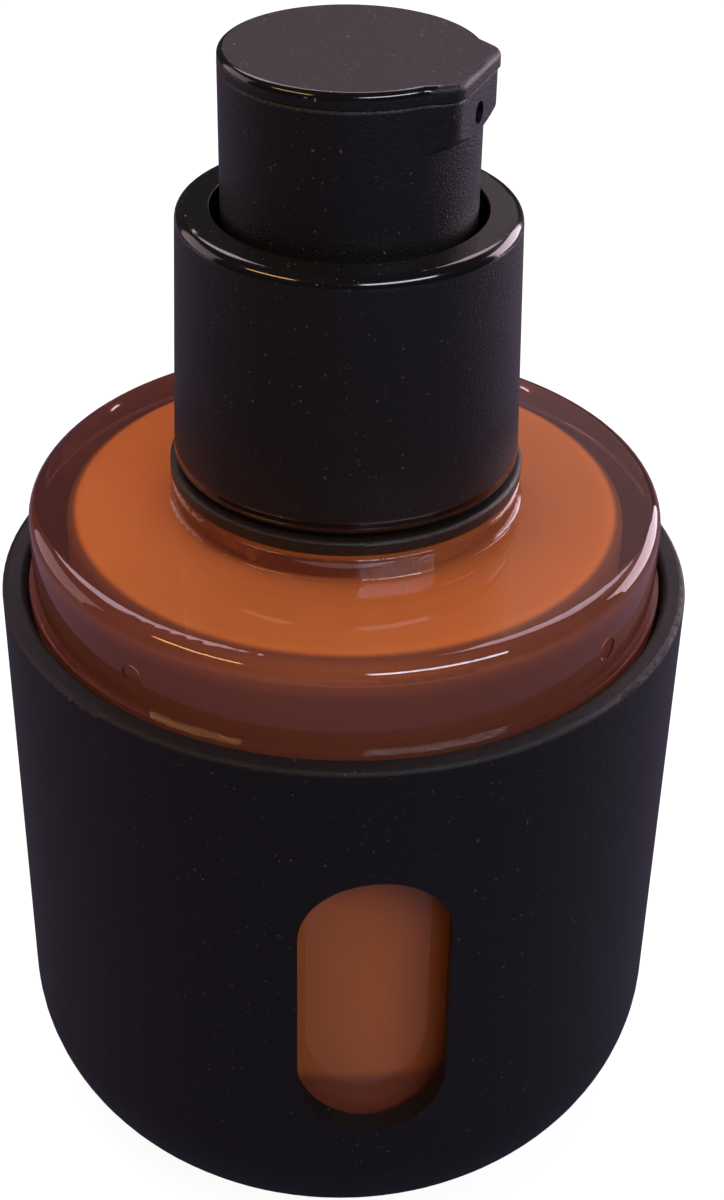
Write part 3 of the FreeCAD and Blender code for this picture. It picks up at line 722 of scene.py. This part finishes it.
@dataclass
class Studio:
    """Pale floor, soft lamps and a white surround.

    The floor is seen at floor_colour with a share of plain glow, and bounces light as floor_bounce.
    """

    ambient: float = 0.05
    floor_size: float = 6.0
    floor_colour: Colour = (0.85, 0.85, 0.85)
    floor_bounce: Colour = (0.10, 0.095, 0.15)
    floor_roughness: float = 0.9
    floor_shine: float = 0.1
    glow: float = 1.08
    glow_share: float = 0.85
    aim: tuple[float, float, float] = (0.0, 0.0, 0.045)
    panels: dict[Lamp, Panel] = field(default_factory=lambda: {
        Lamp.WINDOW: Panel((0.23, -0.42, 0.40), (0.46, 0.10), 2.7, (0.78, 0.87, 1.0)),
        Lamp.WARM: Panel((-0.39, -0.22, 0.40), (0.30, 0.04), 1.0, (1.0, 0.54, 0.20)),
        Lamp.OVER: Panel((-0.10, 0.0, 0.60), (0.50, 0.50), 3.3, (1.0, 0.98, 0.95)),
        Lamp.RIGHT: Panel((0.56, 0.30, 0.13), (0.44, 0.50), 4.6, (1.0, 0.79, 0.92)),
        Lamp.LEFT: Panel((-0.56, 0.30, 0.16), (0.44, 0.50), 1.1, (1.0, 0.72, 0.76)),
        Lamp.BACK: Panel((0.34, 0.50, 0.42), (0.60, 0.35), 0.25, (1.0, 0.82, 0.90)),
        Lamp.HIGH: Panel((0.05, 0.38, 0.50), (0.60, 0.20), 1.7, (1.0, 0.78, 0.90)),
    })

    def build(self) -> None:
        """Add the floor, the lamps and the surround."""
        self.add_floor()
        for lamp, panel in self.panels.items():
            self.add_lamp(lamp, panel)
        self.add_surround()

    def add_floor(self) -> None:
        """Add a broad pale floor."""
        clear_selection()
        bpy.ops.mesh.primitive_grid_add(x_subdivisions=4, y_subdivisions=4, size=self.floor_size)
        floor = start_piece("floor")
        sheet = NodeSheet("floor_pale")
        shader = sheet.node("BsdfPrincipled")
        shader.inputs["Roughness"].default_value = self.floor_roughness
        shader.inputs["Specular IOR Level"].default_value = self.floor_shine
        glow = sheet.node("Emission")
        glow.inputs["Strength"].default_value = self.glow
        path = sheet.node("LightPath").outputs
        seen = sheet.math("MAXIMUM", path["Is Camera Ray"], path["Is Transmission Ray"])
        tone = sheet.blend(seen, rgba(self.floor_bounce), rgba(self.floor_colour))
        sheet.join(tone, shader.inputs["Base Color"])
        share = sheet.math("MULTIPLY", seen, self.glow_share)
        floor.data.materials.append(sheet.finish(sheet.mix(share, shader.outputs[0], glow.outputs[0])))

    def add_lamp(self, lamp: Lamp, panel: Panel) -> None:
        """Add one soft lamp that faces the bottle; the overhead one is never seen in a surface.

        Args:
            lamp: which lamp it is.
            panel: its place, size, power and colour.
        """
        data = bpy.data.lights.new(lamp.value, "AREA")
        data.shape = "RECTANGLE"
        data.size, data.size_y = panel.size
        data.energy = panel.power
        data.color = panel.colour
        made = bpy.data.objects.new(lamp.value, data)
        place = Vector(panel.place)
        facing = (Vector(self.aim) - place).to_track_quat("-Z", "Y").to_matrix().to_4x4()
        made.matrix_world = Matrix.Translation(place) @ facing
        made.visible_glossy = made.visible_transmission = lamp is not Lamp.OVER
        bpy.context.scene.collection.objects.link(made)

    def add_surround(self) -> None:
        """Surround the scene with white that lights it only softly."""
        world = bpy.data.worlds.new("surround")
        bpy.context.scene.world = world
        world.use_nodes = True
        tree = world.node_tree
        background = next(node for node in tree.nodes if node.type == "BACKGROUND")
        background.inputs["Color"].default_value = (1.0, 1.0, 1.0, 1.0)
        path = tree.nodes.new("ShaderNodeLightPath")
        level = tree.nodes.new("ShaderNodeMapRange")
        level.inputs["To Min"].default_value = self.ambient
        level.inputs["To Max"].default_value = 1.0
        tree.links.new(path.outputs["Is Camera Ray"], level.inputs["Value"])
        tree.links.new(level.outputs["Result"], background.inputs["Strength"])


def main() -> None:
    """Build the studio and dress every sub-assembly."""
    logging.basicConfig(level=logging.INFO)
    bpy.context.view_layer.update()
    ViewPoint().build()
    Studio().build()
    bottle = Bottle()
    for piece in bottle.build():
        LOG.info("made %s", piece.name)
    for part in (bottle, Collar(), Pump(), Head()):
        part.dress()
        LOG.info("dressed %s", type(part).__name__)
    bpy.context.scene.view_settings.view_transform = "Standard"


if __name__ == "__main__":
    main()
